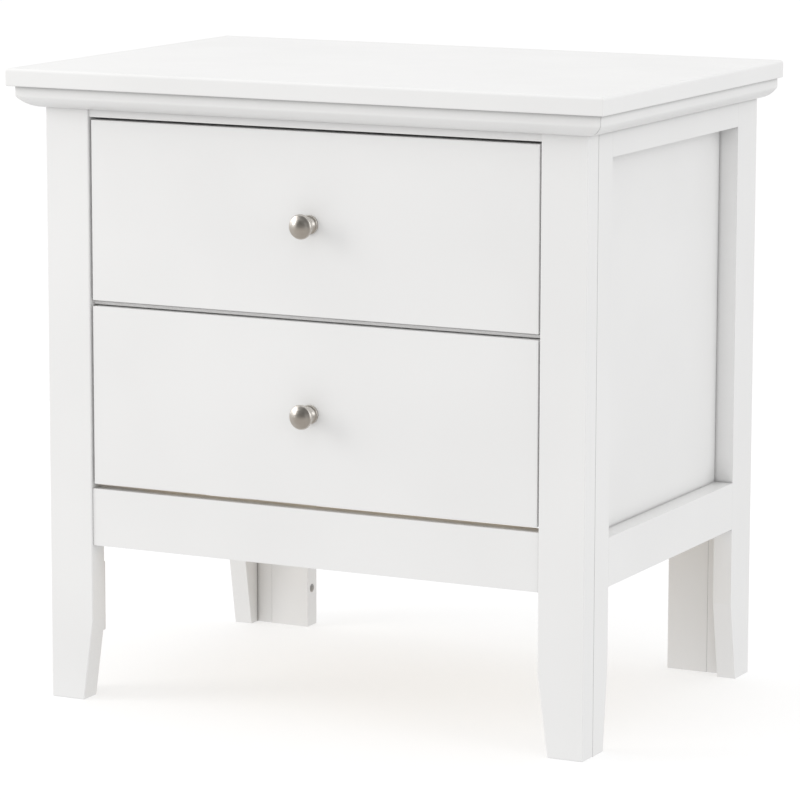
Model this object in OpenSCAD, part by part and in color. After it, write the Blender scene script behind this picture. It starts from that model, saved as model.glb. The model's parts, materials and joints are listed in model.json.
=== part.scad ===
// Two-drawer nightstand: a painted frame-and-panel case on tapered board legs,
// with two inset drawers on side-mounted ball-bearing slides.
// Origin at the centre of the footprint on the floor. +Z is up and the drawers open towards -Y.

/* [Overall size] */
// Width of the top board
top_w = 616; // [580:2:680]
// Depth of the top board
top_d = 430; // [430:2:470]
// Height from the floor to the top surface
overall_h = 610; // [596:2:640]
// Thickness of the top board
top_t = 17; // [15:0.5:20]
// Radius of the top board's upper edges
top_edge_r = 3; // [1:0.5:6]
// Radius of the top board's lower edges
under_edge_r = 1.5; // [0.5:0.5:3]

/* [Crown moulding] */
// Overhang of the top board past the legs at each side
side_overhang = 27; // [24:1:34]
// Overhang of the top board past the legs at the front
front_overhang = 29; // [24:1:30]
// How far the moulding stands out from the legs
crown_out = 21; // [15:1:23]
// Height of the moulding
crown_h = 21; // [18:1:22]
// Radius of the moulding's rounded lower curve, which starts square to the leg's face
crown_r = 25.5; // [23:0.5:32]

/* [Legs] */
// Width of the front leg boards
leg_face_w = 46; // [42:1:52]
// Thickness of the front leg boards
leg_face_t = 23; // [20:1:24]
// Width of the side boards behind the front leg boards
front_stile_w = 31; // [28:1:36]
// Width of the side boards at the rear corners
rear_stile_w = 47.5; // [44:0.5:54]
// Thickness of the side frame's boards
side_t = 19; // [16:1:20]
// Height at which the legs start to taper
taper_h = 78; // [60:1:100]
// How much a front leg board loses in width at the floor
front_taper = 10.5; // [6:0.5:14]
// How much a side board behind a front leg board loses in width at the floor
front_side_taper = 8.5; // [6:0.5:12]
// How much a side board at a rear corner loses in width at the floor
rear_side_taper = 14; // [8:0.5:18]

/* [Rear corners] */
// Width of the filler strip beside each rear side board
rear_strip_w = 17; // [12:1:20]
// Width of each rear leg board
rear_board_w = 42; // [38:1:50]
// Thickness of the boards of the rear frame
rear_t = 20; // [18:1:22]
// Diameter of the blind hole in each rear leg board's end face
peg_hole_d = 9; // [6:0.5:10]
// Height of the blind hole above the floor
peg_hole_z = 39.5; // [30:0.5:60]
// Depth of the blind hole
peg_hole_depth = 12; // [6:1:20]

/* [Rails and panels] */
// Height of the underside of the apron and of the bottom rails
rail_bottom_z = 153; // [145:1:156]
// Height of the front apron
apron_h = 55.5; // [50:0.5:58]
// Height of the side and rear bottom rails
bottom_rail_h = 46; // [40:1:52]
// Height of the side and rear top rails
top_rail_h = 45; // [40:1:50]
// Height of the front top rail
front_rail_h = 28.5; // [26:0.5:32]
// Thickness of the front rails
front_rail_t = 20; // [18:1:22]
// Setback of the front rails and drawer fronts behind the leg faces
front_setback = 2; // [1:0.5:3]
// Thickness of the side panels
side_panel_t = 5; // [4:0.5:6]
// Thickness of the back panel
back_panel_t = 4; // [3:0.5:4]
// Height of the divider rail between the drawers
divider_h = 18; // [16:1:18]
// Depth of the divider rail
divider_d = 32; // [26:1:40]
// Height of the divider rail's lip, which shows between the drawer fronts
divider_lip_h = 3.5; // [2:0.5:3.5]
// Setback of that lip behind the faces of the drawer fronts
divider_lip_setback = 6; // [2:0.5:12]

/* [Drawers] */
// Thickness of the drawer fronts
drawer_front_t = 18; // [16:0.5:18]
// Gap between a drawer front and the legs
gap_side = 2.5; // [1.5:0.5:4]
// Gap above the upper drawer front
gap_top = 2.5; // [2:0.5:4]
// Gap between the two drawer fronts
gap_middle = 5.5; // [4:0.5:7]
// Gap below the lower drawer front
gap_bottom = 4.5; // [3:0.5:6]
// Height of a drawer's sides
box_h = 128; // [110:1:130]
// Depth of a drawer's sides
box_d = 340; // [320:1:342]
// Thickness of a drawer's sides and back
box_t = 12; // [11:0.5:14]
// Thickness of a drawer's bottom
box_bottom_t = 4; // [3:0.5:6]
// Height of the groove for the bottom above the sides' lower edges
groove_up = 10; // [8:1:14]
// Depth of the groove for the bottom
groove_in = 6; // [4:0.5:7]

/* [Knobs] */
// Diameter of a knob's face
knob_d = 23.5; // [20:0.5:28]
// Projection of a knob from the drawer front
knob_out = 23.5; // [21:0.5:26]
// Diameter of a knob's base
knob_base_d = 18; // [16:0.5:20]

/* [Slides] */
// Length of a slide
slide_len = 350; // [340:1:351]
// Height of a slide's case member
slide_h = 35; // [35:1:45]
// Gap that a slide fills between the drawer and the case
slide_gap = 12.7; // [12.7:0.1:13]
// Thickness of the slides' sheet steel
slide_sheet = 1.2; // [1:0.1:1.3]

/* [Hidden] */

// Facets round a full circle, a hair's overlap, and how far cutters run past a face
round_fn = 64;
eps = 0.01;
past = 1;

// Colours
paint = [0.94, 0.94, 0.93];
bare_wood = [0.82, 0.70, 0.52];
nickel = [0.70, 0.68, 0.64];
steel = [0.72, 0.73, 0.75];

// Case outline: the outer faces of the legs
half_w = top_w / 2 - side_overhang;
front_y = -top_d / 2 + front_overhang;
rear_y = top_d / 2;
under_top_z = overall_h - top_t;

// Planes inside the case
leg_back_y = front_y + leg_face_t;
frame_in_x = half_w - side_t;
panel_in_x = frame_in_x - side_panel_t;
rear_frame_y = rear_y - rear_t;
back_panel_y = rear_frame_y - back_panel_t;
open_half_w = half_w - leg_face_w;
rail_front_y = front_y + front_setback;

// Front leg corner blocks
block_w = 16;
block_d = 20;
block_z = [61, 129];

// Gaps from the bottom rails' undersides up to the thin panels, and from the panels up to the top
panel_bottom_gap = 8;
panel_top_gap = 3;

// Drawer fronts, stacked from the apron up to the front top rail
apron_top_z = rail_bottom_z + apron_h;
front_rail_z = under_top_z - front_rail_h;
drawer_front_h = (front_rail_z - apron_top_z - gap_bottom - gap_middle - gap_top) / 2;
lower_z = apron_top_z + gap_bottom;
upper_z = lower_z + drawer_front_h + gap_middle;
drawer_front_half_w = open_half_w - gap_side;
drawer_front_back_y = rail_front_y + drawer_front_t;

// Drawer boxes: they ride above the divider rail's top edge
divider_z = upper_z - gap_middle / 2 - divider_h / 2;
box_half_w = open_half_w - slide_gap;
box_up = 12;
bottom_half_w = box_half_w - box_t + groove_in;
box_back_y = drawer_front_back_y + box_d;

// Slides, drawn with x = 0 on the case member's outer face and x growing towards the drawer
slide_setback = 2;
slide_start_y = leg_back_y + slide_setback;
slide_mid_up = box_up + box_h / 2;
case_flange = 10;
case_lip = 1.5;
race_gap = 3.3;
drawer_flange_h = slide_h - 2 * slide_sheet - 2 * race_gap;
drawer_flange_x = 3.2;
cage_len = 85;
cage_setback = 131;
cage_start_y = slide_start_y + cage_setback;
cage_sheet = 0.8;
cage_web_x = 1.8;
cage_flange_x = 8;
ball_d = 2.6;
ball_x = 5.5;
ball_pitch = 10;
ball_count = 8;
ball_fn = 24;

// Battens that carry the slides, a little taller than them
batten_h = slide_h + 1;

// Cleats and long screws that hold the top
cleat_w = 20;
cleat_h = 20;
cleat_end_gap = 12;
cleat_screws = 3;
cleat_screw_end_gap = 36;
top_screw_len = 30;
top_screw_head_h = 2;

// Countersunk screws that hold the slides
screw_d = 4;
screw_head_d = 7;
screw_len = 11;
screw_fit = 0.2;
case_screw_y = [16, 160, 320];
drawer_screw_y = [24, 170, 318];

// Knob profile
knob_base_h = 2.5;
knob_rim_r = 2.5;
knob_dome_h = 3;
knob_neck_r = 4.7;
knob_cove_r = 8.5;
knob_foot_edge = 1;
knob_bore_r = 2;
knob_bore_depth = 12;

// Knob screw: a pan head inside the drawer and a shank through the front
knob_screw_r = 1.95;
knob_screw_head_r = 4.5;
knob_screw_head_h = 2.4;
knob_screw_reach = 11;
front_hole_r = 2.3;

// ---------------------------------------------------------------- shapes

// A block between two opposite corners
module block(lo, hi) translate(lo) cube(hi - lo);

// The same shape on the left and the right
module both_sides() {
    children();
    mirror([1, 0, 0]) children();
}

// Section of a board w wide and t thick: its lower corners rounded a little, its upper ones more
module eased_section(w, t) {
    difference() {
        translate([-w / 2, 0]) square([w, t]);
        for (side = [0, 1]) mirror([side, 0]) {
            translate([-w / 2, 0]) corner_waste(under_edge_r);
            translate([-w / 2, t]) mirror([0, 1]) corner_waste(top_edge_r);
        }
    }
}

// What rounding a corner at the origin takes away
module corner_waste(r) {
    difference() {
        translate([-past, -past]) square(r + past);
        translate([r, r]) circle(r, $fn = round_fn);
    }
}

// Outline of a leg board: straight along x = 0, tapered on the other edge near the floor
module leg_outline(w, h, taper) {
    polygon([[0, 0], [w - taper, 0], [w, taper_h], [w, h], [0, h]]);
}

// Extrudes a section along the depth, from back_y towards the front
module along_y(back_y, len) translate([0, back_y, 0]) rotate([90, 0, 0]) linear_extrude(len) children();

// Extrudes a section drawn in Y and Z along the width, from x towards +X
module along_x(x, len) translate([x, 0, 0]) rotate([90, 0, 90]) linear_extrude(len) children();

// Crown section: x away from the leg, y up from the moulding's lower edge
module crown_section() {
    intersection() {
        square([crown_out, crown_h]);
        translate([0, crown_r]) circle(crown_r, $fn = 2 * round_fn);
    }
}

// Countersunk screw along -Z, its head's face at the origin
module countersunk_screw(len, head_h = slide_sheet) {
    mirror([0, 0, 1]) {
        cylinder(h = head_h, r1 = screw_head_d / 2, r2 = screw_d / 2, $fn = round_fn);
        cylinder(h = len, r = screw_d / 2, $fn = round_fn);
    }
}

// Seat for such a screw in a sheet whose face is at the origin
module countersunk_seat() {
    mirror([0, 0, 1]) cylinder(h = slide_sheet, r1 = screw_head_d / 2 + screw_fit,
                               r2 = screw_d / 2 + screw_fit, $fn = round_fn);
    for (out = [0, 1]) mirror([0, 0, out])
        cylinder(h = 2 * slide_sheet, r = screw_d / 2 + screw_fit, $fn = round_fn);
}

// ---------------------------------------------------------------- top and crown moulding

module top_panel() {
    color(paint) translate([0, 0, under_top_z]) intersection() {
        along_y(top_d / 2, top_d) eased_section(top_w, top_t);
        along_x(-top_w / 2, top_w) eased_section(top_d, top_t);
    }
}

// Front moulding, mitred at both ends
module front_crown_moulding() {
    long = half_w + crown_out;
    color(paint) translate([0, 0, under_top_z - crown_h]) intersection() {
        along_x(-long, 2 * long) translate([front_y, 0]) mirror([1, 0]) crown_section();
        linear_extrude(crown_h)
            polygon([[-long, front_y - crown_out], [long, front_y - crown_out],
                     [half_w, front_y], [-half_w, front_y]]);
    }
}

// Side moulding, mitred at the front and square at the rear
module right_crown_moulding() {
    color(paint) translate([0, 0, under_top_z - crown_h]) intersection() {
        along_y(rear_y, rear_y - front_y + crown_out) translate([half_w, 0]) crown_section();
        linear_extrude(crown_h)
            polygon([[half_w, front_y], [half_w + crown_out, front_y - crown_out],
                     [half_w + crown_out, rear_y], [half_w, rear_y]]);
    }
}
module left_crown_moulding() mirror([1, 0, 0]) right_crown_moulding();

// ---------------------------------------------------------------- legs

module left_front_leg_face() {
    color(paint) along_y(leg_back_y, leg_face_t)
        translate([-half_w, 0]) leg_outline(leg_face_w, under_top_z, front_taper);
}
module right_front_leg_face() mirror([1, 0, 0]) left_front_leg_face();

module right_front_leg_side() {
    color(paint) along_x(frame_in_x, side_t)
        translate([leg_back_y, 0]) leg_outline(front_stile_w, under_top_z, front_side_taper);
}
module left_front_leg_side() mirror([1, 0, 0]) right_front_leg_side();

// Glue blocks in the corners of the front legs
module front_leg_blocks() {
    color(paint) both_sides()
        block([frame_in_x - block_w, leg_back_y, block_z[0]],
              [frame_in_x, leg_back_y + block_d, block_z[1]]);
}

module right_rear_leg_side() {
    color(paint) along_x(frame_in_x, side_t)
        translate([rear_y, 0]) mirror([1, 0]) leg_outline(rear_stile_w, under_top_z, rear_side_taper);
}
module left_rear_leg_side() mirror([1, 0, 0]) right_rear_leg_side();

module right_rear_leg_strip() {
    color(paint) block([frame_in_x - rear_strip_w, rear_frame_y, 0], [frame_in_x, rear_y, under_top_z]);
}
module left_rear_leg_strip() mirror([1, 0, 0]) right_rear_leg_strip();

// Rear leg board, with a blind hole in its inner end face
module right_rear_leg_back() {
    outer_x = frame_in_x - rear_strip_w;
    inner_x = outer_x - rear_board_w;
    color(paint) difference() {
        block([inner_x, rear_frame_y, 0], [outer_x, rear_y, under_top_z]);
        translate([inner_x - past, (rear_frame_y + rear_y) / 2, peg_hole_z]) rotate([0, 90, 0])
            cylinder(h = peg_hole_depth + past, d = peg_hole_d, $fn = round_fn);
    }
}
module left_rear_leg_back() mirror([1, 0, 0]) right_rear_leg_back();

// ---------------------------------------------------------------- side and rear frames

// A rail of the side frame between the front and rear boards
module side_rail(z, h) {
    color(paint) block([frame_in_x, leg_back_y + front_stile_w, z], [half_w, rear_y - rear_stile_w, z + h]);
}
module right_side_top_rail() side_rail(under_top_z - top_rail_h, top_rail_h);
module left_side_top_rail() mirror([1, 0, 0]) right_side_top_rail();
module right_side_bottom_rail() side_rail(rail_bottom_z, bottom_rail_h);
module left_side_bottom_rail() mirror([1, 0, 0]) right_side_bottom_rail();

module right_side_panel() {
    color(paint) block([panel_in_x, leg_back_y, rail_bottom_z + panel_bottom_gap],
                       [frame_in_x, rear_frame_y, under_top_z - panel_top_gap]);
}
module left_side_panel() mirror([1, 0, 0]) right_side_panel();

// A rail of the rear frame between the rear leg boards
module rear_rail(z, h) {
    reach = frame_in_x - rear_strip_w - rear_board_w;
    color(paint) block([-reach, rear_frame_y, z], [reach, rear_y, z + h]);
}
module rear_top_rail() rear_rail(under_top_z - top_rail_h, top_rail_h);
module rear_bottom_rail() rear_rail(rail_bottom_z, bottom_rail_h);

module back_panel() {
    color(paint) block([-panel_in_x, back_panel_y, rail_bottom_z + panel_bottom_gap],
                       [panel_in_x, rear_frame_y, under_top_z - panel_top_gap]);
}

// ---------------------------------------------------------------- front rails and top cleats

module front_top_rail() {
    color(paint) block([-open_half_w, rail_front_y, front_rail_z],
                       [open_half_w, rail_front_y + front_rail_t, under_top_z]);
}

module front_apron() {
    color(paint) block([-open_half_w, rail_front_y, rail_bottom_z],
                       [open_half_w, rail_front_y + front_rail_t, apron_top_z]);
}

module drawer_divider_rail() {
    lip_z = upper_z - gap_middle / 2 - divider_lip_h / 2;
    color(paint) {
        block([-panel_in_x, leg_back_y, divider_z],
              [panel_in_x, leg_back_y + divider_d, divider_z + divider_h]);
        block([-open_half_w, rail_front_y + divider_lip_setback, lip_z],
              [open_half_w, leg_back_y + past, lip_z + divider_lip_h]);
    }
}

module top_cleats() {
    color(bare_wood) both_sides()
        block([panel_in_x - cleat_w, leg_back_y + cleat_end_gap, under_top_z - cleat_h],
              [panel_in_x, back_panel_y - cleat_end_gap, under_top_z]);
}

// Screws driven up through the cleats into the top
module top_screws() {
    first_y = leg_back_y + cleat_screw_end_gap;
    last_y = back_panel_y - cleat_screw_end_gap;
    color(steel) both_sides() for (i = [0 : cleat_screws - 1])
        translate([panel_in_x - cleat_w / 2, first_y + i * (last_y - first_y) / (cleat_screws - 1),
                   under_top_z - cleat_h])
            mirror([0, 0, 1]) countersunk_screw(top_screw_len, top_screw_head_h);
}

// ---------------------------------------------------------------- slides, drawn on the left

// Moves children from slide coordinates to the left wall at a drawer's slide height
module on_left_wall(z0) translate([-open_half_w, 0, z0 + slide_mid_up]) children();

module slide_batten(z0) {
    color(bare_wood) block([-panel_in_x, leg_back_y, z0 + slide_mid_up - batten_h / 2],
                           [-open_half_w, back_panel_y, z0 + slide_mid_up + batten_h / 2]);
}

// Channel section: an outer size less its hollow, open towards +x
module case_slide_section() {
    difference() {
        translate([0, -slide_h / 2]) square([case_flange, slide_h]);
        translate([slide_sheet, -slide_h / 2 + slide_sheet])
            square([case_flange - 2 * slide_sheet, slide_h - 2 * slide_sheet]);
        translate([slide_sheet, -slide_h / 2 + slide_sheet + case_lip])
            square([case_flange, slide_h - 2 * slide_sheet - 2 * case_lip]);
    }
}

module case_slide(z0) {
    color(steel) on_left_wall(z0) difference() {
        along_y(slide_start_y + slide_len, slide_len) case_slide_section();
        for (y = case_screw_y) translate([slide_sheet, slide_start_y + y, 0])
            rotate([0, 90, 0]) countersunk_seat();
    }
}

// Channel section that nests inside the case member, open towards -x
module drawer_slide_section() {
    difference() {
        translate([drawer_flange_x, -drawer_flange_h / 2])
            square([slide_gap - drawer_flange_x, drawer_flange_h]);
        translate([drawer_flange_x - past, -drawer_flange_h / 2 + slide_sheet])
            square([slide_gap - drawer_flange_x + past - slide_sheet, drawer_flange_h - 2 * slide_sheet]);
    }
}

module drawer_slide(z0) {
    color(steel) on_left_wall(z0) difference() {
        along_y(slide_start_y + slide_len, slide_len) drawer_slide_section();
        for (y = drawer_screw_y) translate([slide_gap - slide_sheet, slide_start_y + y, 0])
            rotate([0, -90, 0]) countersunk_seat();
    }
}

// Ball cage: a thin channel between the two members, with a row of balls in each race
module ball_cage_section() {
    race_mid = drawer_flange_h / 2 + race_gap / 2;
    outer = race_mid + cage_sheet / 2;
    difference() {
        translate([cage_web_x, -outer]) square([cage_flange_x - cage_web_x, 2 * outer]);
        translate([cage_web_x + cage_sheet, -outer + cage_sheet])
            square([cage_flange_x, 2 * (outer - cage_sheet)]);
    }
}

module ball_cage(z0) {
    race_mid = drawer_flange_h / 2 + race_gap / 2;
    first_ball_y = cage_start_y + (cage_len - (ball_count - 1) * ball_pitch) / 2;
    on_left_wall(z0) {
        along_y(cage_start_y + cage_len, cage_len) ball_cage_section();
        for (row = [-1, 1], i = [0 : ball_count - 1])
            translate([ball_x, first_ball_y + i * ball_pitch, row * race_mid])
                sphere(d = ball_d, $fn = ball_fn);
    }
}

module ball_cages(z0) color(steel) both_sides() ball_cage(z0);

module upper_left_slide_batten() slide_batten(upper_z);
module upper_right_slide_batten() mirror([1, 0, 0]) slide_batten(upper_z);
module lower_left_slide_batten() slide_batten(lower_z);
module lower_right_slide_batten() mirror([1, 0, 0]) slide_batten(lower_z);
module upper_left_case_slide() case_slide(upper_z);
module upper_right_case_slide() mirror([1, 0, 0]) case_slide(upper_z);
module lower_left_case_slide() case_slide(lower_z);
module lower_right_case_slide() mirror([1, 0, 0]) case_slide(lower_z);
module upper_left_drawer_slide() drawer_slide(upper_z);
module upper_right_drawer_slide() mirror([1, 0, 0]) drawer_slide(upper_z);
module lower_left_drawer_slide() drawer_slide(lower_z);
module lower_right_drawer_slide() mirror([1, 0, 0]) drawer_slide(lower_z);
module upper_ball_cages() ball_cages(upper_z);
module lower_ball_cages() ball_cages(lower_z);

// Screws from the case members into the battens
module case_slide_screws() {
    color(steel) both_sides() for (z0 = [lower_z, upper_z]) on_left_wall(z0)
        for (y = case_screw_y) translate([slide_sheet, slide_start_y + y, 0])
            rotate([0, 90, 0]) countersunk_screw(screw_len);
}

// Screws from the drawer members into a drawer's sides
module drawer_slide_screws(z0) {
    color(steel) both_sides() on_left_wall(z0)
        for (y = drawer_screw_y) translate([slide_gap - slide_sheet, slide_start_y + y, 0])
            rotate([0, -90, 0]) countersunk_screw(screw_len);
}
module upper_drawer_slide_screws() drawer_slide_screws(upper_z);
module lower_drawer_slide_screws() drawer_slide_screws(lower_z);

// ---------------------------------------------------------------- drawers

module drawer_front(z0) {
    color(paint) difference() {
        block([-drawer_front_half_w, rail_front_y, z0],
              [drawer_front_half_w, drawer_front_back_y, z0 + drawer_front_h]);
        translate([0, drawer_front_back_y + past, z0 + drawer_front_h / 2]) rotate([90, 0, 0])
            cylinder(h = drawer_front_t + 2 * past, r = front_hole_r, $fn = round_fn);
        bottom_sheet(z0);
    }
}

// The bottom sheet sits in grooves in the front, the sides and the back
module bottom_sheet(z0) {
    z = z0 + box_up + groove_up;
    block([-bottom_half_w, drawer_front_back_y - groove_in, z],
          [bottom_half_w, box_back_y - box_t + groove_in, z + box_bottom_t]);
}

module drawer_bottom(z0) color(bare_wood) bottom_sheet(z0);

module drawer_side(z0) {
    color(bare_wood) difference() {
        block([-box_half_w, drawer_front_back_y, z0 + box_up],
              [-box_half_w + box_t, box_back_y, z0 + box_up + box_h]);
        bottom_sheet(z0);
    }
}

module drawer_back(z0) {
    reach = box_half_w - box_t;
    color(bare_wood) difference() {
        block([-reach, box_back_y - box_t, z0 + box_up], [reach, box_back_y, z0 + box_up + box_h]);
        bottom_sheet(z0);
    }
}

module upper_drawer_front() drawer_front(upper_z);
module upper_drawer_left_side() drawer_side(upper_z);
module upper_drawer_right_side() mirror([1, 0, 0]) drawer_side(upper_z);
module upper_drawer_back() drawer_back(upper_z);
module upper_drawer_bottom() drawer_bottom(upper_z);
module lower_drawer_front() drawer_front(lower_z);
module lower_drawer_left_side() drawer_side(lower_z);
module lower_drawer_right_side() mirror([1, 0, 0]) drawer_side(lower_z);
module lower_drawer_back() drawer_back(lower_z);
module lower_drawer_bottom() drawer_bottom(lower_z);

// ---------------------------------------------------------------- knobs

// Places children on a drawer front's centre, +Z turned towards the front
module on_front(z0) translate([0, rail_front_y, z0 + drawer_front_h / 2]) rotate([90, 0, 0]) children();

// Half section of a knob: base disc, coved neck, rounded rim and low dome
module knob_section() {
    face_r = knob_d / 2;
    rim_mid_h = knob_out - knob_dome_h - knob_rim_r;
    flat_r = face_r - knob_rim_r;
    dome_r = (pow(flat_r, 2) + pow(knob_dome_h, 2)) / (2 * knob_dome_h);
    neck_h = rim_mid_h - knob_rim_r - knob_base_h;
    cove_x = knob_neck_r + knob_cove_r;
    square([knob_base_d / 2, knob_base_h]);
    translate([0, knob_base_h - eps]) difference() {
        square([knob_base_d / 2 - knob_foot_edge, neck_h + 2 * eps]);
        translate([cove_x, neck_h / 2]) circle(knob_cove_r, $fn = round_fn);
    }
    translate([0, rim_mid_h - knob_rim_r]) square([flat_r, 2 * knob_rim_r]);
    translate([flat_r, rim_mid_h]) circle(knob_rim_r, $fn = round_fn);
    intersection() {
        translate([0, knob_out - dome_r]) circle(dome_r, $fn = 2 * round_fn);
        translate([0, rim_mid_h]) square([flat_r, knob_out]);
    }
}

module knob(z0) {
    color(nickel) on_front(z0) difference() {
        rotate_extrude($fn = 2 * round_fn) knob_section();
        translate([0, 0, -past]) cylinder(h = knob_bore_depth + past, r = knob_bore_r, $fn = round_fn);
    }
}

module knob_screw(z0) {
    color(steel) on_front(z0) translate([0, 0, -drawer_front_t]) {
        cylinder(h = drawer_front_t + knob_screw_reach, r = knob_screw_r, $fn = round_fn);
        translate([0, 0, -knob_screw_head_h])
            cylinder(h = knob_screw_head_h, r = knob_screw_head_r, $fn = round_fn);
    }
}

module upper_knob() knob(upper_z);
module lower_knob() knob(lower_z);
module upper_knob_screw() knob_screw(upper_z);
module lower_knob_screw() knob_screw(lower_z);

// ---------------------------------------------------------------- the assembly

top_panel();
front_crown_moulding();
left_crown_moulding();
right_crown_moulding();
left_front_leg_face();
right_front_leg_face();
left_front_leg_side();
right_front_leg_side();
front_leg_blocks();
left_rear_leg_side();
right_rear_leg_side();
left_rear_leg_strip();
right_rear_leg_strip();
left_rear_leg_back();
right_rear_leg_back();
left_side_top_rail();
right_side_top_rail();
left_side_bottom_rail();
right_side_bottom_rail();
left_side_panel();
right_side_panel();
front_top_rail();
drawer_divider_rail();
front_apron();
rear_top_rail();
rear_bottom_rail();
back_panel();
top_cleats();
upper_left_slide_batten();
upper_right_slide_batten();
lower_left_slide_batten();
lower_right_slide_batten();
upper_left_case_slide();
upper_right_case_slide();
lower_left_case_slide();
lower_right_case_slide();
upper_ball_cages();
lower_ball_cages();
upper_left_drawer_slide();
upper_right_drawer_slide();
lower_left_drawer_slide();
lower_right_drawer_slide();
upper_drawer_front();
upper_drawer_left_side();
upper_drawer_right_side();
upper_drawer_back();
upper_drawer_bottom();
upper_knob();
upper_knob_screw();
lower_drawer_front();
lower_drawer_left_side();
lower_drawer_right_side();
lower_drawer_back();
lower_drawer_bottom();
lower_knob();
lower_knob_screw();
top_screws();
case_slide_screws();
upper_drawer_slide_screws();
lower_drawer_slide_screws();
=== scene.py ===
import json
import math

import bmesh
import bpy
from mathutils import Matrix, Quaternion, Vector


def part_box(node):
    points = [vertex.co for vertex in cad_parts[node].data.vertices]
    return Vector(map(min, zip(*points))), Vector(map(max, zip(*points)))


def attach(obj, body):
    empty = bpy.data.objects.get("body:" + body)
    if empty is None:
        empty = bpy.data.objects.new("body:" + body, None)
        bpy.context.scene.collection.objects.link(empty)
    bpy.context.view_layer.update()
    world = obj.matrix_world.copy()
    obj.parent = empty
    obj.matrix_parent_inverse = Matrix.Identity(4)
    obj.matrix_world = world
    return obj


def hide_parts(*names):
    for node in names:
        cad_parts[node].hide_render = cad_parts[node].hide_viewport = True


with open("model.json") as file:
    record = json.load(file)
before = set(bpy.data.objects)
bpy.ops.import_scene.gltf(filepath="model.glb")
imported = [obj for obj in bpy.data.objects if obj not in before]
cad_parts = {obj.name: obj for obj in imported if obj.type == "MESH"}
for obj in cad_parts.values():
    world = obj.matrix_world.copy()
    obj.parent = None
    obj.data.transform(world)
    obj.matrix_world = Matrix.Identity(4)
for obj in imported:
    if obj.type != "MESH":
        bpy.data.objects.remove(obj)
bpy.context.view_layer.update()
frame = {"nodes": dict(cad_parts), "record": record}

NODES = frame["nodes"]
SLOTS = {entry["node"]: entry["material_slot"] for entry in frame["record"]["subparts"]}
MM = 0.001

# The camera stands to the front right, a little above the top
CAMERA_PLACE = Vector((1.7902, -3.5770, 0.9640))
CAMERA_AZIMUTH = 26.568
CAMERA_PITCH = 9.639
CAMERA_ROLL = 0.133
CAMERA_LENS = 188.8

# Brightness of the white surroundings: from above, from below, and from below on the shaded right
SKY_LEVEL = 0.94
BOUNCE_LEVEL = 0.88
SHADED_BOUNCE = 0.70
# Light that the floor itself gives off, which keeps the shadow on it faint
FLOOR_GLOW = 0.60

# Watts of the area lights
KEY_POWER = 15.0
FILL_POWER = 15.0
TOP_POWER = 2.0


# ---------------------------------------------------------------- camera, stage and lights

def add_camera():
    azimuth, pitch = math.radians(CAMERA_AZIMUTH), math.radians(CAMERA_PITCH)
    level = math.cos(pitch)
    ahead = Vector((-math.sin(azimuth) * level, math.cos(azimuth) * level, -math.sin(pitch)))
    data = bpy.data.cameras.new("camera")
    data.lens = CAMERA_LENS
    data.sensor_width = 36.0
    data.clip_end = 100.0
    camera = bpy.data.objects.new("camera", data)
    bpy.context.scene.collection.objects.link(camera)
    camera.location = CAMERA_PLACE
    camera.rotation_mode = "QUATERNION"
    roll = Quaternion((0.0, 0.0, 1.0), math.radians(CAMERA_ROLL))
    camera.rotation_quaternion = ahead.to_track_quat("-Z", "Y") @ roll
    bpy.context.scene.camera = camera


def add_light(name, place, aim, size, power, colour=(1.0, 1.0, 1.0)):
    data = bpy.data.lights.new(name, "AREA")
    data.shape = "RECTANGLE"
    data.size, data.size_y = size
    data.energy = power
    data.color = colour
    light = bpy.data.objects.new(name, data)
    bpy.context.scene.collection.objects.link(light)
    light.location = place
    light.rotation_mode = "QUATERNION"
    light.rotation_quaternion = (Vector(aim) - Vector(place)).to_track_quat("-Z", "Y")
    light.visible_camera = False


def stage_sheet(name, corners, faces, material):
    mesh = bpy.data.meshes.new(name)
    mesh.from_pydata(corners, [], faces)
    mesh.materials.append(material)
    sheet = bpy.data.objects.new(name, mesh)
    bpy.context.scene.collection.objects.link(sheet)
    return sheet


def add_floor():
    """A pale floor that glows a little, as a lit studio sweep does."""
    material, _, _, shader = new_material("studio_floor")
    shader.inputs["Base Color"].default_value = (0.42, 0.42, 0.42, 1.0)
    shader.inputs["Roughness"].default_value = 0.85
    shader.inputs["Specular IOR Level"].default_value = 0.2
    shader.inputs["Emission Color"].default_value = (1.0, 1.0, 1.0, 1.0)
    shader.inputs["Emission Strength"].default_value = FLOOR_GLOW
    half = 30.0
    corners = [(-half, -half, 0.0), (half, -half, 0.0), (half, half, 0.0), (-half, half, 0.0)]
    floor = stage_sheet("studio_floor", corners, [(0, 1, 2, 3)], material)
    for kind in ("diffuse", "glossy", "shadow"):
        setattr(floor, f"visible_{kind}", False)


def add_card(name, corners, colour):
    """A matt card that is only seen in the gloss of the metal and the paint."""
    material, _, _, shader = new_material(name)
    shader.inputs["Base Color"].default_value = (*colour, 1.0)
    shader.inputs["Roughness"].default_value = 1.0
    shader.inputs["Specular IOR Level"].default_value = 0.0
    card = stage_sheet(name, corners, [(0, 1, 2, 3)], material)
    for kind in ("camera", "diffuse", "transmission", "volume_scatter", "shadow"):
        setattr(card, f"visible_{kind}", False)


def add_room():
    """What the knobs mirror in front of the nightstand: a dark far side over a mid-grey floor."""
    left, right = -4.4, 2.1
    near, far = -0.26, -3.2
    low, high = 0.002, 4.8
    add_card("dark_far_side", [(left, far, low), (right, far, low), (right, far, high), (left, far, high)],
             (0.10, 0.095, 0.085))
    add_card("grey_near_floor", [(left, far, low), (right, far, low), (right, near, low), (left, near, low)],
             (0.46, 0.43, 0.40))


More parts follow.
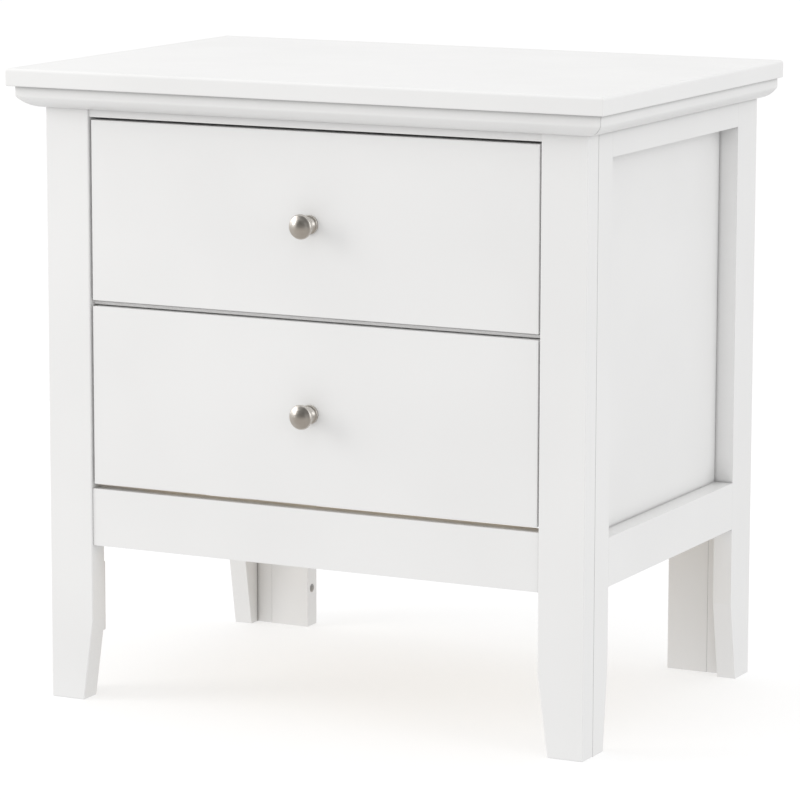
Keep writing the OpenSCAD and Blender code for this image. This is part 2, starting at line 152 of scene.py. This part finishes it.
def add_world():
    """White light all round: full from above, and from below weaker towards the shaded right."""
    lit_side, shaded_side = -0.3, 0.6
    horizon_blend = 0.15
    world = bpy.data.worlds.new("studio")
    bpy.context.scene.world = world
    world.use_nodes = True
    nodes, links = world.node_tree.nodes, world.node_tree.links
    sky = nodes["Background"]
    sky.inputs["Color"].default_value = (1.0, 1.0, 1.0, 1.0)
    direction = nodes.new("ShaderNodeTexCoord")
    split = nodes.new("ShaderNodeSeparateXYZ")
    bounce = nodes.new("ShaderNodeMapRange")
    bounce.inputs["From Min"].default_value = lit_side
    bounce.inputs["From Max"].default_value = shaded_side
    bounce.inputs["To Min"].default_value = BOUNCE_LEVEL
    bounce.inputs["To Max"].default_value = SHADED_BOUNCE
    level = nodes.new("ShaderNodeMapRange")
    level.inputs["From Min"].default_value = -horizon_blend
    level.inputs["From Max"].default_value = horizon_blend
    level.inputs["To Max"].default_value = SKY_LEVEL
    links.new(direction.outputs["Generated"], split.inputs["Vector"])
    links.new(split.outputs["X"], bounce.inputs["Value"])
    links.new(bounce.outputs["Result"], level.inputs["To Min"])
    links.new(split.outputs["Z"], level.inputs["Value"])
    links.new(level.outputs["Result"], sky.inputs["Strength"])


def add_studio():
    scene = bpy.context.scene
    scene.view_settings.view_transform = "Standard"
    scene.view_settings.look = "None"
    add_world()
    middle = (0.0, 0.0, 0.35)
    add_light("key", (-2.0, -1.25, 1.25), middle, (0.9, 1.4), KEY_POWER, (1.0, 0.99, 0.97))
    add_light("fill", (3.2, -0.8, 1.3), middle, (1.6, 2.0), FILL_POWER, (0.98, 0.99, 1.0))
    add_light("overhead", (0.0, -0.2, 2.6), middle, (2.2, 2.2), TOP_POWER)
    add_floor()
    add_room()


# ---------------------------------------------------------------- material building blocks

def new_material(name):
    """A material with a Principled shader: (material, nodes, links, shader)."""
    material = bpy.data.materials.new(name)
    material.use_nodes = True
    tree = material.node_tree
    return material, tree.nodes, tree.links, tree.nodes["Principled BSDF"]


def stretched_position(nodes, links, grain):
    """Position in the piece's own space, squeezed along the grain so that patterns run with it."""
    coordinates = nodes.new("ShaderNodeTexCoord")
    mapping = nodes.new("ShaderNodeMapping")
    mapping.inputs["Scale"].default_value = grain
    links.new(coordinates.outputs["Object"], mapping.inputs["Vector"])
    return mapping.outputs["Vector"]


def noise(nodes, links, vector, scale, detail, rough=0.5):
    texture = nodes.new("ShaderNodeTexNoise")
    texture.inputs["Scale"].default_value = scale
    texture.inputs["Detail"].default_value = detail
    texture.inputs["Roughness"].default_value = rough
    links.new(vector, texture.inputs["Vector"])
    return texture.outputs["Fac"]


def spread(nodes, links, value, low, high):
    """Maps the middle of a noise value to the range low to high."""
    scaled = nodes.new("ShaderNodeMapRange")
    scaled.inputs["From Min"].default_value = 0.3
    scaled.inputs["From Max"].default_value = 0.7
    scaled.inputs["To Min"].default_value = low
    scaled.inputs["To Max"].default_value = high
    links.new(value, scaled.inputs["Value"])
    return scaled.outputs["Result"]


def ramp(nodes, links, value, stops):
    """Colour ramp over (place, colour) stops."""
    band = nodes.new("ShaderNodeValToRGB")
    elements = band.color_ramp.elements
    while len(elements) < len(stops):
        elements.new(0.5)
    for element, (place, colour) in zip(elements, stops):
        element.position = place
        element.color = (*colour, 1.0)
    links.new(value, band.inputs["Fac"])
    return band.outputs["Color"]


def bump(nodes, links, heights, shader):
    """Chains bumps, each (height value, distance in metres, strength), into the shader's normal."""
    normal = None
    for height, distance, strength in heights:
        node = nodes.new("ShaderNodeBump")
        node.inputs["Distance"].default_value = distance
        node.inputs["Strength"].default_value = strength
        links.new(height, node.inputs["Height"])
        if normal is not None:
            links.new(normal, node.inputs["Normal"])
        normal = node.outputs["Normal"]
    links.new(normal, shader.inputs["Normal"])


# ---------------------------------------------------------------- materials

# Grain directions: the scale of each axis, small along the fibres
ALONG_X = (0.06, 1.0, 1.0)
ALONG_Y = (1.0, 0.06, 1.0)
ALONG_Z = (1.0, 1.0, 0.06)


# Painted shade in seams and corners: openness below which a point is painted as dark as it gets, and above
# which a seam or a corner is left light
CLOSED_IN = 0.3
SEAM_OPEN = 0.95
CORNER_OPEN = 0.85
# How far the painted shade beside a corner reaches, and how dark it is painted
CORNER_REACH = 26.0 * MM
CORNER_LOW = 0.80


def painted_shade_factor(nodes, links, reach, full, low):
    """Painted shade: 1 in the open, falling to low where other surfaces within reach close in on a point and
    would shade it.
    """
    crevice = nodes.new("ShaderNodeAmbientOcclusion")
    crevice.samples = 8
    crevice.inputs["Distance"].default_value = reach
    scaled = nodes.new("ShaderNodeMapRange")
    scaled.interpolation_type = "SMOOTHSTEP"
    scaled.inputs["From Min"].default_value = CLOSED_IN
    scaled.inputs["From Max"].default_value = full
    scaled.inputs["To Min"].default_value = low
    scaled.inputs["To Max"].default_value = 1.0
    links.new(crevice.outputs["AO"], scaled.inputs["Value"])
    return scaled.outputs["Result"]


def painted_seam_shade(nodes, links, colour, reach, low, strength):
    """Paints shade into the colour: darker in the seams down to low, and a little darker in the corners
    beside them.
    """
    seam = painted_shade_factor(nodes, links, reach, SEAM_OPEN, low)
    corner = painted_shade_factor(nodes, links, CORNER_REACH, CORNER_OPEN, CORNER_LOW)
    both = nodes.new("ShaderNodeMath")
    both.operation = "MULTIPLY"
    links.new(seam, both.inputs[0])
    links.new(corner, both.inputs[1])
    shade = nodes.new("ShaderNodeMix")
    shade.data_type = "RGBA"
    shade.blend_type = "MULTIPLY"
    shade.inputs["Factor"].default_value = strength
    links.new(colour, shade.inputs["A"])
    links.new(both.outputs["Value"], shade.inputs["B"])
    return shade.outputs["Result"]


def white_lacquer(name, grain, strength=1.0, reach=4.5 * MM, low=0.60):
    """Satin white lacquer over wood: faint fibre lines, sprayed orange peel and slight cloudiness, with
    shade painted into its seams and corners unless strength is 0.
    """
    material, nodes, links, shader = new_material(name)
    plain = stretched_position(nodes, links, (1.0, 1.0, 1.0))
    fibres = stretched_position(nodes, links, grain)
    cloud = noise(nodes, links, plain, 6.0, 2.0)
    tint = (0.865, 0.862, 0.857)
    darker = tuple(channel * 0.975 for channel in tint)
    clouded = ramp(nodes, links, cloud, [(0.35, darker), (0.65, tint)])
    # Painted shade: the seams and corners are darkened in the base colour, as much as strength gives
    paint = painted_seam_shade(nodes, links, clouded, reach, low, strength) if strength > 0.0 else clouded
    links.new(paint, shader.inputs["Base Color"])
    smudge = noise(nodes, links, plain, 22.0, 4.0, 0.6)
    links.new(spread(nodes, links, smudge, 0.34, 0.44), shader.inputs["Roughness"])
    shader.inputs["Specular IOR Level"].default_value = 0.45
    shader.inputs["Coat Weight"].default_value = 0.15
    shader.inputs["Coat Roughness"].default_value = 0.25
    fibre = noise(nodes, links, fibres, 420.0, 4.0, 0.6)
    peel = noise(nodes, links, plain, 380.0, 2.0)
    bump(nodes, links, [(fibre, 0.00012, 0.25), (peel, 0.00010, 0.30)], shader)
    return material


def pale_wood(name, grain, light, dark, ring_scale=26.0):
    """Clear pale wood: growth rings stretched along the grain, fine fibres and pores."""
    material, nodes, links, shader = new_material(name)
    fibres = stretched_position(nodes, links, grain)
    rings = nodes.new("ShaderNodeTexWave")
    rings.wave_type = "RINGS"
    rings.inputs["Scale"].default_value = ring_scale
    rings.inputs["Distortion"].default_value = 6.0
    rings.inputs["Detail"].default_value = 3.0
    rings.inputs["Detail Scale"].default_value = 1.4
    links.new(fibres, rings.inputs["Vector"])
    fine = noise(nodes, links, fibres, 520.0, 6.0, 0.65)
    mixed = nodes.new("ShaderNodeMix")
    mixed.data_type = "FLOAT"
    mixed.inputs[0].default_value = 0.45
    links.new(rings.outputs["Fac"], mixed.inputs[2])
    links.new(fine, mixed.inputs[3])
    middle = tuple((a + b) / 2 for a, b in zip(light, dark))
    colour = ramp(nodes, links, mixed.outputs[0], [(0.15, dark), (0.45, middle), (0.8, light)])
    links.new(colour, shader.inputs["Base Color"])
    links.new(spread(nodes, links, fine, 0.42, 0.58), shader.inputs["Roughness"])
    shader.inputs["Specular IOR Level"].default_value = 0.4
    bump(nodes, links, [(fine, 0.0002, 0.35)], shader)
    return material


def plated_metal(name, colour, roughness, variation):
    """Plated metal: fine polishing lines and a little uneven roughness."""
    material, nodes, links, shader = new_material(name)
    plain = stretched_position(nodes, links, (1.0, 1.0, 1.0))
    lines = stretched_position(nodes, links, (1.0, 0.08, 1.0))
    shader.inputs["Metallic"].default_value = 1.0
    cloud = noise(nodes, links, plain, 60.0, 3.0)
    darker = tuple(channel * 0.93 for channel in colour)
    links.new(ramp(nodes, links, cloud, [(0.3, darker), (0.7, colour)]), shader.inputs["Base Color"])
    scuff = noise(nodes, links, plain, 240.0, 4.0, 0.6)
    uneven = spread(nodes, links, scuff, roughness - variation, roughness + variation)
    links.new(uneven, shader.inputs["Roughness"])
    polish = noise(nodes, links, lines, 900.0, 3.0)
    bump(nodes, links, [(polish, 0.00005, 0.2)], shader)
    return material


# ---------------------------------------------------------------- shapes

def dress(obj, material):
    obj.data.materials.clear()
    obj.data.materials.append(material)


SHARP_ANGLE = math.radians(35.0)
WELD_REACH = 0.01 * MM
LATHE_STEPS = 96


def ease_edges(obj, width):
    """Joins the split corners and rounds the sharp edges of a board."""
    weld = obj.modifiers.new("weld", "WELD")
    weld.merge_threshold = WELD_REACH
    bevel = obj.modifiers.new("ease", "BEVEL")
    bevel.width = width
    bevel.segments = 3
    bevel.limit_method = "ANGLE"
    bevel.angle_limit = SHARP_ANGLE
    bevel.harden_normals = True


def smooth_all(obj):
    for polygon in obj.data.polygons:
        polygon.use_smooth = True


def link_piece(name, mesh, material, node, body):
    """A Blender piece that stands for a CAD node and rides on its body."""
    piece = bpy.data.objects.new(name, mesh)
    bpy.context.scene.collection.objects.link(piece)
    dress(piece, material)
    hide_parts(node)
    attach(piece, body)
    return piece


def lathe_mesh(name, profile, centre):
    """Revolves (radius, height) points about a line along -Y through centre."""
    shape = bmesh.new()
    rings = []
    for radius, height in profile:
        if radius == 0.0:
            rings.append([shape.verts.new((centre.x, centre.y - height, centre.z))])
            continue
        ring = []
        for i in range(LATHE_STEPS):
            turn = 2.0 * math.pi * i / LATHE_STEPS
            across, up = radius * math.cos(turn), radius * math.sin(turn)
            ring.append(shape.verts.new((centre.x + across, centre.y - height, centre.z + up)))
        rings.append(ring)
    for low, high in zip(rings, rings[1:]):
        for i in range(LATHE_STEPS):
            j = (i + 1) % LATHE_STEPS
            if len(low) == 1:
                shape.faces.new((low[0], high[j], high[i]))
            elif len(high) == 1:
                shape.faces.new((low[i], low[j], high[0]))
            else:
                shape.faces.new((low[i], low[j], high[j], high[i]))
    bmesh.ops.recalc_face_normals(shape, faces=shape.faces)
    mesh = bpy.data.meshes.new(name)
    shape.to_mesh(mesh)
    shape.free()
    return mesh


def arc(centre, radius, start, end, steps):
    """Points of an arc in (radius, height), from start to end in degrees."""
    angles = [math.radians(start + (end - start) * i / steps) for i in range(steps + 1)]
    return [(centre[0] + radius * math.cos(a), centre[1] + radius * math.sin(a)) for a in angles]


def knob_profile(face_radius, height):
    """Base disc, coved neck, rounded rim and low dome."""
    base_radius, base_edge = 9.0 * MM, 0.7 * MM
    base_height = 2.5 * MM
    rim = 2.5 * MM
    dome = 3.0 * MM
    neck, cove = 4.7 * MM, 8.5 * MM
    flat = face_radius - rim
    rim_middle = height - dome - rim
    neck_middle = (base_height + rim_middle - rim) / 2
    half_neck = rim_middle - rim - neck_middle
    reach = math.degrees(math.asin(min(1.0, half_neck / cove)))
    dome_radius = (flat ** 2 + dome ** 2) / (2 * dome)
    dome_edge = math.degrees(math.acos(flat / dome_radius))
    profile = [(0.0, 0.0), (base_radius - base_edge, 0.0), (base_radius, 0.0)]
    rim_end = 62.0
    dome_start = dome_edge + 3.0
    profile += arc((base_radius - base_edge, base_height - base_edge), base_edge, 0.0, 90.0, steps=4)
    profile += arc((neck + cove, neck_middle), cove, 180.0 + reach, 180.0 - reach, steps=14)
    profile += arc((flat, rim_middle), rim, -90.0, rim_end, steps=14)
    profile += arc((0.0, height - dome_radius), dome_radius, dome_start, 90.0, steps=12)[:-1]
    profile.append((0.0, height))
    return profile


def build_knob(which):
    low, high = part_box(f"{which}_knob")
    centre = Vector(((low.x + high.x) / 2, high.y, (low.z + high.z) / 2))
    profile = knob_profile((high.x - low.x) / 2, high.y - low.y)
    piece = link_piece(f"{which}_round_knob", lathe_mesh(f"{which}_round_knob", profile, centre),
                       SATIN_NICKEL, f"{which}_knob", f"{which}_drawer")
    smooth_all(piece)


def build_top():
    """The top board with eased edges: the upper edges most, the corners and the lower edges less."""
    widest_ease = 3.0 * MM
    upper_edge, lower_edge, corner_edge = 1.0, 0.4, 0.5
    low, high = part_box("top_panel")
    shape = bmesh.new()
    bmesh.ops.create_cube(shape, size=1.0)
    for vertex in shape.verts:
        for axis in range(3):
            vertex.co[axis] = high[axis] if vertex.co[axis] > 0.0 else low[axis]
    weights = shape.edges.layers.float.new("bevel_weight_edge")
    for edge in shape.edges:
        middle = (edge.verts[0].co + edge.verts[1].co) / 2
        if middle.z > high.z - MM:
            edge[weights] = upper_edge
        elif middle.z < low.z + MM:
            edge[weights] = lower_edge
        else:
            edge[weights] = corner_edge
    mesh = bpy.data.meshes.new("top_board")
    shape.to_mesh(mesh)
    shape.free()
    piece = link_piece("top_board", mesh, LACQUER_X, "top_panel", "case")
    bevel = piece.modifiers.new("ease", "BEVEL")
    bevel.width = widest_ease
    bevel.segments = 5
    bevel.limit_method = "WEIGHT"
    bevel.harden_normals = True
    smooth_all(piece)


# ---------------------------------------------------------------- the nightstand

# Lacquers with shade painted into their seams and corners: full for most boards, none for the open ones,
# about half for the lip, and a wider, darker painted seam shade for the crown
LACQUER_X = white_lacquer("white_lacquer_painted_shade_x", ALONG_X)
LACQUER_Y = white_lacquer("white_lacquer_painted_shade_y", ALONG_Y)
LACQUER_Z = white_lacquer("white_lacquer_painted_shade_z", ALONG_Z)
OPEN_LACQUER_X = white_lacquer("open_lacquer_x", ALONG_X, strength=0.0)
OPEN_LACQUER_Z = white_lacquer("open_lacquer_z", ALONG_Z, strength=0.0)
LIP_LACQUER = white_lacquer("lip_lacquer_half_painted_shade", ALONG_X, strength=0.45)
CROWN_LACQUER_X = white_lacquer("crown_lacquer_painted_shade_x", ALONG_X, reach=6.0 * MM, low=0.55)
CROWN_LACQUER_Y = white_lacquer("crown_lacquer_painted_shade_y", ALONG_Y, reach=6.0 * MM, low=0.35)
BOX_WOOD_X = pale_wood("drawer_wood_x", ALONG_X, (0.80, 0.64, 0.43), (0.62, 0.45, 0.27))
BOX_WOOD_Y = pale_wood("drawer_wood_y", ALONG_Y, (0.80, 0.64, 0.43), (0.62, 0.45, 0.27))
PLYWOOD = pale_wood("drawer_plywood", ALONG_X, (0.83, 0.70, 0.50), (0.70, 0.54, 0.34), 12.0)
SOFTWOOD = pale_wood("bare_softwood", ALONG_Y, (0.84, 0.68, 0.44), (0.66, 0.46, 0.25), 34.0)
SATIN_NICKEL = plated_metal("satin_nickel", (0.64, 0.61, 0.57), 0.36, 0.05)
SLIDE_STEEL = plated_metal("zinc_slide", (0.66, 0.68, 0.70), 0.32, 0.08)
SCREW_STEEL = plated_metal("zinc_screw", (0.68, 0.67, 0.62), 0.30, 0.06)

UPRIGHT = ("leg_face", "leg_side", "leg_strip", "leg_back", "leg_blocks")
ALONG_DEPTH = ("side_top_rail", "side_bottom_rail")
# Boards beside the gaps round the drawers: the gaps are dark enough without shading in the paint
BESIDE_GAPS = ("drawer_front", "front_top_rail")


def material_for(name):
    slot = SLOTS[name]
    if name == "drawer_divider_rail":
        return LIP_LACQUER
    if name.endswith("crown_moulding"):
        return CROWN_LACQUER_X if name.startswith("front") else CROWN_LACQUER_Y
    if name.endswith("leg_face"):
        return OPEN_LACQUER_Z
    if any(word in name for word in BESIDE_GAPS):
        return OPEN_LACQUER_X
    if slot in ("painted_wood", "painted_panel"):
        if any(word in name for word in UPRIGHT) or slot == "painted_panel":
            return LACQUER_Z
        return LACQUER_Y if any(word in name for word in ALONG_DEPTH) else LACQUER_X
    if slot == "drawer_box_wood":
        return BOX_WOOD_X if name.endswith("back") else BOX_WOOD_Y
    return {"drawer_bottom_ply": PLYWOOD, "bare_softwood": SOFTWOOD, "satin_nickel": SATIN_NICKEL,
            "slide_steel": SLIDE_STEEL, "zinc_screw": SCREW_STEEL}[slot]


BOARD_EASE = {"painted_wood": 0.8 * MM, "painted_panel": 0.2 * MM, "drawer_box_wood": 0.8 * MM,
              "bare_softwood": 0.8 * MM, "drawer_bottom_ply": 0.3 * MM}
# Boards whose edges are eased more or less than the others of their kind
OWN_EASE = {"leg_face": 1.2 * MM, "leg_side": 0.3 * MM, "leg_strip": 0.5 * MM, "crown": 1.0 * MM,
            "side_top_rail": 0.2 * MM, "side_bottom_rail": 0.2 * MM}
# Nodes that build_top and build_knob replace with finer pieces
REPLACED = ("top_panel", "upper_knob", "lower_knob")


def dress_nodes():
    """Gives every node its material, and eases the edges of the boards that no finer piece replaces."""
    for name, obj in NODES.items():
        dress(obj, material_for(name))
        slot = SLOTS[name]
        if name not in REPLACED and slot in BOARD_EASE:
            own = [width for word, width in OWN_EASE.items() if word in name]
            ease_edges(obj, own[0] if own else BOARD_EASE[slot])


add_camera()
add_studio()
dress_nodes()
build_top()
for drawer in ("upper", "lower"):
    build_knob(drawer)
